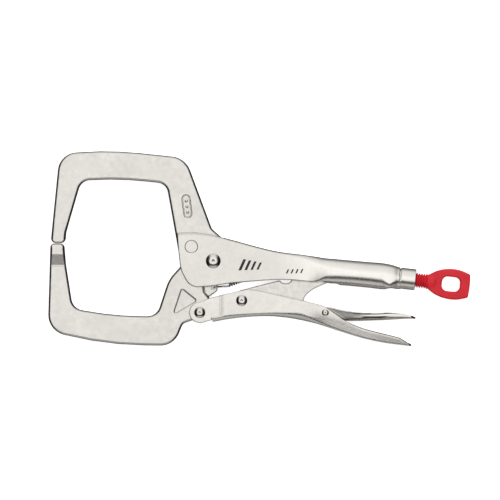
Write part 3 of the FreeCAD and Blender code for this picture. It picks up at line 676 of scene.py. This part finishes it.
lower_plan = Outline(both_sides([(-10.0, 9.0, 0), (150.6, 9.0, 7.5)]))


def lower_handle_field(x, y, z):
    sheet, open_height, flank = 2.0, 30.0, 13.0
    bevel_slope, bevel_width, step_in = 0.42, 2.6, 0.82
    ear_eye, ears_outside, pivot_bore, release_bore = 7.9, 6.65, 3.0, 1.8
    half, bottom, under, band, keel, lean = lower_curve(x)
    top, rise = bottom + open_height, y - bottom
    # the band turns in from a softened crease, the flank above it leans in gradually
    low = np.maximum(band - rise, 0)
    soft = 0.1 + 1.3 * smooth_step(x, 85, 70)
    low = np.where(low < soft, low**2 / (2 * soft), low - soft / 2)
    bend = np.clip(flank - rise, 0, flank - band)
    half = half - keel * low - lean * bend**2 / (2 * (flank - band))
    # the front is stepped in to the ears
    half = half - step_in * smooth_step(x, 9.0, 3.6) * smooth_step(rise, band - 1, band)
    outer = section(y, z, half, top, bottom, 1.0, under)
    bevel = bevel_slope * np.maximum(np.abs(z) - half + bevel_width, 0)
    outer = both(outer, lower_side(x, y) + bevel * smooth_step(x, 100, 108), 0.35)
    inner = section(y, z, half - sheet, top + 10, bottom + sheet, 0.5,
                    np.maximum(under - sheet, 0.4))
    trough = without(outer, inner, 0.5)
    trough = both(trough, lower_plan(x, z), 0.5)
    flat = joined(ear_outline(x, y), disc(x, y, LEVER_PIVOT, ear_eye), 1.0)
    ears = both(flat, np.abs(z) - ears_outside, 0.5)
    ears = without(ears, np.abs(z) - CHEEKS_INSIDE, 0.4)
    shell = joined(trough, ears, 0.35)
    shell = without(shell, disc(x, y, LEVER_PIVOT, pivot_bore))
    shell = without(shell, disc(x, y, LINK_PIVOT, pivot_bore))
    return without(shell, disc(x, y, RELEASE_PIVOT, release_bore))


finish_with(surface("lower_handle_shell", lower_handle_field, (-19.5, -66.5, -8.6),
                    (152, -19.5, 8.6), 0.42, "lever", "handle_nickel", "lower_handle"), "lever")


# --------------------------------------------------------------- toggle link

link_plate = Outline([
    (19.9, -22.6, 0), (50.6, -14.7, 0.8), (52.2, -17.2, 3.9), (58.2, -17.2, 3.9),
    (63.6, -3.9, 6.1), (87.2, -3.0, 4.9), (91.9, -8.1, 4.9), (88.7, -15.7, 6.1),
    (75.0, -21.7, 22.8), (68.6, -27.4, 9.1), (68.2, -33.9, 2.3), (21.5, -36.9, 0),
])


def link_field(x, y, z):
    link_half, eye, pivot_bore = 3.5, 6.9, 3.05
    flat = joined(link_plate(x, y), disc(x, y, LINK_PIVOT, eye), 0.6)
    edge = 0.8 - 0.6 * smooth_step(x, 58, 66)
    body = both(flat, np.abs(z) - link_half, edge)
    return without(body, disc(x, y, LINK_PIVOT, pivot_bore), 0.3)


finish_with(surface("toggle_link_plate", link_field, (13.5, -38, -4), (93.5, -2, 4),
                    0.5, "link", "link_nickel", "toggle_link"), "link")


# ------------------------------------------------------------- release lever

# x, half width, top, bottom and rounding
release_curve = smooth_curve([
    (78.5, 5.3, -36.4, -43.0, 2.0), (86.0, 5.3, -34.9, -44.6, 2.2),
    (98.0, 5.3, -37.2, -45.4, 2.0), (110.0, 5.3, -39.0, -45.5, 1.8),
    (122.0, 5.0, -39.6, -45.2, 1.8), (133.0, 5.1, -39.2, -44.7, 1.6),
    (143.0, 5.2, -40.0, -44.1, 1.4), (149.0, 5.0, -41.2, -43.9, 1.0),
    (153.8, 4.8, -42.2, -44.1, 0.8),
])
# x, then the slope of the flank's five bands from top to bottom
release_bands = smooth_curve([
    (80.0, 0.24, 0.23, 0.23, 0.235, 0.38), (96.0, 0.24, 0.23, 0.23, 0.235, 0.38),
    (104.0, 0.25, 0.228, 0.23, 0.25, 0.38), (111.5, 0.34, 0.21, 0.212, 0.27, 0.38),
    (119.0, 0.375, 0.08, 0.37, 0.38, 0.52), (126.7, 0.375, 0.02, 0.33, 0.22, 0.23),
    (134.0, 0.31, 0.00, 0.215, 0.225, 0.32), (142.0, 0.25, 0.02, 0.20, 0.225, 0.30),
    (150.0, 0.23, 0.10, 0.20, 0.23, 0.30),
])
RELEASE_EDGES = (0.0, 0.20, 0.44, 0.64, 0.86, 1.0)  # of those bands, as shares of the height
release_nose = Outline([
    (64.5, -38.7, 0.8), (80.0, -36.6, 0), (84.0, -42.4, 0), (78.0, -42.9, 0),
    (64.8, -41.4, 1.0),
])
release_plan = Outline(both_sides([(60.0, 6.5, 0), (147.6, 6.5, 0), (153.8, 2.5, 0.8)]))


def release_field(x, y, z):
    sheet, nose_half, pivot_bore = 1.6, 3.0, 1.85
    paddle_start, paddle_end = 78.0, 153.8
    half, top, bottom, under = release_curve(x)
    height = top - bottom
    for slope, start, end in zip(release_bands(x), RELEASE_EDGES, RELEASE_EDGES[1:]):
        half = half - slope * np.clip(top - y - start * height, 0, (end - start) * height)
    outer = section(y, z, half, top, bottom, 0.2, under)
    outer = both(outer, np.maximum(paddle_start - x, x - paddle_end), 0.4)
    inner = section(y, z, half - sheet, top + 4, bottom + sheet, 0.3,
                    np.maximum(under - sheet, 0.3))
    trough = both(without(outer, inner, 0.35), release_plan(x, z), 0.4)
    nose = both(release_nose(x, y), np.abs(z) - nose_half, 0.4)
    web = box(x, y, z, (78.2, -42.7, -5.0), (80.4, -36.9, 5.0))
    lever = joined(joined(trough, web), nose, 0.5)
    return without(lever, disc(x, y, RELEASE_PIVOT, pivot_bore), 0.2)


finish_with(surface("release_paddle", release_field, (63.5, -46.5, -6.6), (154.6, -33.8, 6.6),
                    0.34, "release", "release_chrome", "release_lever"), "release")


# -------------------------------------------------------------------- rivets

# slope of a rivet's dome at shares of its radius
DOME_SHARES = (0, 0.42, 0.58, 0.64, 0.95, 1)
DOME_SLOPES = (0, 0.25, 0.49, 0.60, 1.19, 2.14)


def rivet(name, node, body, centre, shank, head, rise, grip, material):
    """Peened rivet: a low brim and a polished dome with a punched crown on each side."""
    brim, rim, least_radius = 0.15, head / 2, 0.1
    punch, depth = 0.21 * rim, 0.12 * rim
    share = np.linspace(0, 1, 41)
    slope = np.interp(share, DOME_SHARES, DOME_SLOPES)
    drop = np.append(0, np.cumsum(slope[1:] + slope[:-1]))
    dome = (rise - brim) * (1 - drop / drop[-1])
    profile = []
    for radius, height in zip(np.maximum(rim * share, least_radius).tolist(), dome.tolist()):
        dent = depth * math.exp(-((radius / punch) ** 2))
        profile.append((radius, grip + brim + height - dent))
    profile += [(rim, grip + 0.03), (rim - 0.03, grip), (shank / 2, grip),
                (shank / 2, grip - 0.1)]
    finish_with(lathe(name, profile, centre, body, "rivet_steel", node), material)


# each with its shank and head diameters, the head's rise and half the grip
rivet("main_rivet", "main_pivot_rivet", "frame", (0, 0), 7.95, 11.3, 2.48, 6.9, "rivet")
rivet("lever_rivet", "jaw_lever_rivet", "lever", LEVER_PIVOT, 6.0, 8.5, 2.18, 6.65, "rivet")
rivet("link_pivot_rivet", "link_rivet", "lever", LINK_PIVOT, 6.0, 8.5, 1.88, 7.5, "rivet")
rivet("release_pivot_rivet", "release_rivet", "lever", RELEASE_PIVOT, 3.6, 5.3, 1.18, 7.55,
      "lever")
# radius and height of the ground rivet, from its flat face to its edge
flush = [(4.0, 6.86), (4.4, 6.84), (4.56, 6.78), (4.65, 6.66), (4.66, 6.5), (4.66, 5.0)]
finish_with(lathe("flush_rivet", flush, FLUSH_PIVOT, "frame", "handle_nickel",
                  "fixed_jaw_rivet"), "handle")


# -------------------------------------------------------------- return spring

def tube(name, line, radius, body, slot, *nodes):
    """Round wire along a line of points."""
    sides = 12
    off_axis = (0.3, 0.4, 0.86)  # a direction the wire's start isn't parallel to
    line = np.array(line, float)
    ahead = np.gradient(line, axis=0)
    ahead /= np.linalg.norm(ahead, axis=1)[:, None]
    side = np.cross(ahead[0], off_axis)
    points = []
    for place, direction in zip(line, ahead):
        side = side - direction * (side @ direction)
        side /= np.linalg.norm(side)
        up = np.cross(direction, side)
        for k in range(sides):
            turn = 2 * math.pi * k / sides
            points.append(place + radius * (math.cos(turn) * side + math.sin(turn) * up))
    faces = []
    for ring in range(len(line) - 1):
        for k in range(sides):
            n = (k + 1) % sides
            faces.append((ring * sides + k, ring * sides + n,
                          (ring + 1) * sides + n, (ring + 1) * sides + k))
    faces.append(tuple(reversed(range(sides))))
    faces.append(tuple((len(line) - 1) * sides + k for k in range(sides)))
    return piece(name, points, faces, body, slot, *nodes)


def spring_line():
    """Front hook, leg, close coils, leg and back hook of the extension spring."""
    front, back = np.array((*LUG_EYE, 0.0)), np.array((*TAB_EYE, 0.0))
    span = np.linalg.norm(back - front)
    along = (back - front) / span
    over = np.array((0, 0, 1.0))
    aside = np.cross(over, along)
    coil_start, coil_stop, coil, hook, turns = 12.4, 43.0, 2.75, 1.95, 17
    line = [front + along * (hook - hook * math.cos(turn)) + over * hook * math.sin(turn)
            for turn in np.linspace(-2.6, 1.4, 26)]
    line += [front + along * s + over * hook * smooth_step(s, 8.0, 1.5)
             - aside * coil * smooth_step(s, 1.0, coil_start + 1.5)
             for s in np.linspace(2.4, coil_start - 1.2, 14)]
    for share in np.linspace(0, 1, turns * 26):
        angle = 2 * math.pi * turns * share - math.pi / 2
        reach = coil * smooth_step(share, 1.01, 0.975)
        line.append(front + along * (coil_start + (coil_stop - coil_start) * share)
                    + reach * (math.cos(angle) * over + math.sin(angle) * aside))
    line += [front + along * s for s in np.linspace(coil_stop + 0.5, span - hook, 6)]
    line += [back - along * hook * math.cos(turn) + aside * hook * math.sin(turn)
             for turn in np.linspace(0.2, 4.6, 26)]
    return line


WIRE_RADIUS = 0.64
spring = finish_with(tube("return_spring_wire", spring_line(), WIRE_RADIUS, None, "spring_steel",
                          "return_spring"), "spring")
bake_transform(spring)


# ----------------------------------------------------------- adjusting screw

def thread(along, radial, angle, start, end):
    """Distance to a screw thread between two places along it."""
    pitch, crest, root = 1.814, 5.52, 4.25
    true_share = 0.8  # makes up for the ribs' slope, so that the value stays a distance
    phase = np.mod(along / pitch - angle / (2 * math.pi), 1.0)
    rise = smooth_step(phase, 0.02, 0.38) * smooth_step(phase, 0.98, 0.62)
    fade = smooth_step(along, start, start + 1.2) * smooth_step(along, end, end - 1.2)
    return (radial - root - (crest - root) * rise * fade) * true_share


def shank_field(x, y, z):
    tip, shoulder = -58.7, -8.0
    journal_radius, journal_start, journal_end = 2.5, -20.0, -1.0
    along, across = on_screw(x, y)
    radial, angle = np.hypot(across, z), np.arctan2(z, across)
    ribs = thread(along, radial, angle, -57.0, -6.0)
    body = both(ribs, np.maximum(tip - along, along - shoulder), 0.5)
    journal = both(radial - journal_radius,
                   np.maximum(journal_start - along, along - journal_end), 0.3)
    return np.minimum(body, journal)


finish_with(surface("screw_shank", shank_field, (93, -22, -6), (154, -6, 6),
                    0.3, "screw", "screw_red", "adjusting_screw"), "red")

loop_outline = Outline(both_sides([
    (8.0, 3.5, 0), (11.6, 6.7, 12), (15.8, 9.2, 20), (21.1, 10.9, 22), (27.3, 11.8, 22),
    (33.7, 11.3, 22), (40.95, 8.9, 1.8), (41.8, 0, 60),
]))
loop_hole = Outline([(20.2, 5.5, 4.2), (34.0, 5.5, 4.2), (34.0, -5.5, 4.2), (20.2, -5.5, 4.2)])


def grip_field(x, y, z):
    neck_start, neck_end, loop_half = -7.9, 14.5, 3.75
    socket_radius, socket_end = 2.55, -0.5
    along, across = on_screw(x, y)
    radial, angle = np.hypot(across, z), np.arctan2(z, across)
    neck = thread(along, radial, angle, -9.0, 10.2)
    neck = both(neck, np.maximum(neck_start - along, along - neck_end), 0.5)
    ring = without(loop_outline(along, across), loop_hole(along, across))
    loop = both(ring, np.abs(z) - loop_half, 1.5)
    grip = joined(neck, loop, 2.2)
    return without(grip, np.maximum(radial - socket_radius, along - socket_end))


finish_with(surface("screw_loop", grip_field, (144.5, -31.5, -6), (197, -4, 6),
                    0.25, "grip", "screw_red", "screw_grip"), "red")


# --------------------------------------------------------------------- print

def print_marks():
    """Two plain rows of slanted bars printed on the cheek."""
    points, faces = [], []
    below_skin, above_skin = -0.04, 0.03
    # left, foot and height of each bar
    bars = [(19.0 + 4.6 * number, -7.2 + 0.2 * number, 8.4 - 1.0 * number) for number in range(4)]
    bars += [(55.0 + 3.6 * number, -9.6 + 0.1 * number, 3.2) for number in range(4)]
    for left, foot, tall in bars:
        lean, wide = 0.45 * tall, 0.55 + 0.2 * tall
        start = len(points)
        for lift in (below_skin, above_skin):
            points += [(x, y, float(upper_curve(np.array(x))[0]) + lift) for x, y in (
                (left, foot), (left + wide, foot), (left + wide + lean, foot + tall),
                (left + lean, foot + tall))]
        faces += [(start + 3, start + 2, start + 1, start), tuple(start + 4 + k for k in range(4))]
        for k in range(4):
            n = (k + 1) % 4
            faces.append((start + k, start + n, start + 4 + n, start + 4 + k))
    marks = piece("handle_print", points, faces, "frame", "handle_nickel")
    marks.data.polygons.foreach_set("use_smooth", [False] * len(faces))
    finish_with(marks, "ink")


print_marks()


# ------------------------------------------------------- floor, light, camera

def make_floor():
    """Matt pale disc under the clamp, kept out of the metal's reflections."""
    bpy.ops.mesh.primitive_circle_add(vertices=96, radius=14, fill_type="NGON")
    floor = bpy.context.object
    floor.name = "floor"
    material, _, principled = shader("pale_floor", (0.90, 0.90, 0.90), 0.0, 0.9)
    principled.inputs["Specular IOR Level"].default_value = 0.0
    principled.inputs["Emission Color"].default_value = (1, 1, 1, 1)
    principled.inputs["Emission Strength"].default_value = 0.70
    floor.data.materials.append(material)
    floor.visible_glossy = False


make_floor()


def make_world():
    """Soft studio: a bright sky overhead and towards +Y, a dark gap low on the -Y side."""
    world = bpy.data.worlds.new("studio")
    bpy.context.scene.world = world
    world.use_nodes = True
    tree = world.node_tree
    place = tree.nodes.new("ShaderNodeTexCoord")
    split = tree.nodes.new("ShaderNodeSeparateXYZ")
    tree.links.new(place.outputs["Generated"], split.inputs["Vector"])

    def combine(operation, a, b):
        node = tree.nodes.new("ShaderNodeMath")
        node.operation = operation
        for socket, value in zip(node.inputs, (a, b)):
            if isinstance(value, (int, float)):
                socket.default_value = value
            else:
                tree.links.new(value, socket)
        return node.outputs[0]

    def levels(value, low, high, stops):
        share = combine("DIVIDE", combine("SUBTRACT", value, low), high - low)
        return ramp(tree, share, [((at - low) / (high - low), grey(level)) for at, level in stops])

    # tilt in degrees from straight up towards +Y
    tilt = combine("MULTIPLY", combine("ARCTAN2", split.outputs["Y"], split.outputs["Z"]),
                   180 / math.pi)
    around = levels(tilt, -180, 180, [
        (-180, 0.02), (-150, 0.05), (-125, 0.26), (-101, 0.51), (-72, 0.58), (-60, 0.44),
        (-52, 0.08), (-30, 0.04), (-22, 0.78), (-12, 1.04), (8, 1.14), (35, 0.95),
        (88, 0.80), (102, 0.50), (118, 0.28), (138, 0.09), (180, 0.02)])
    # falls off towards both sides, by the share of the direction that is along X
    sideways = levels(split.outputs["X"], -1, 1, [
        (-0.86, 0.02), (-0.72, 0.07), (-0.60, 0.30), (-0.48, 0.68), (-0.34, 0.97), (0, 1.0),
        (0.34, 0.97), (0.48, 0.68), (0.60, 0.30), (0.72, 0.07), (0.86, 0.02)])
    level = combine("MULTIPLY", around, sideways)
    background = tree.nodes["Background"]
    tree.links.new(level, background.inputs["Color"])
    background.inputs["Strength"].default_value = 1.0


make_world()


def make_lamp():
    """Large soft lamp overhead for the floor and the coating, out of the camera's sight."""
    lamp = bpy.data.lights.new("overhead", "AREA")
    lamp.shape = "DISK"
    lamp.size = 2.4
    lamp.energy = 40
    place = Vector((0.3, 0.5, 2.4))
    obj = bpy.data.objects.new("overhead", lamp)
    obj.location = place
    obj.rotation_euler = Vector((0, 0, 1)).rotation_difference(place).to_euler()
    obj.visible_glossy = False
    obj.visible_camera = False
    bpy.context.scene.collection.objects.link(obj)


make_lamp()


def make_camera():
    """Long lens straight above the clamp, +Y up in the picture."""
    camera = bpy.data.cameras.new("camera")
    camera.lens = 400
    camera.sensor_width = 36
    # width and middle of the view on the clamp's middle plane
    width, middle = 0.380, (-0.00707, -0.00086)
    distance = width / 2 / (camera.sensor_width / 2 / camera.lens)
    obj = bpy.data.objects.new("camera", camera)
    obj.location = (middle[0], middle[1], ORIGIN[2] + distance)
    bpy.context.scene.collection.objects.link(obj)
    bpy.context.scene.camera = obj


make_camera()
bpy.context.scene.view_settings.view_transform = "Standard"

bpy.context.view_layer.update()
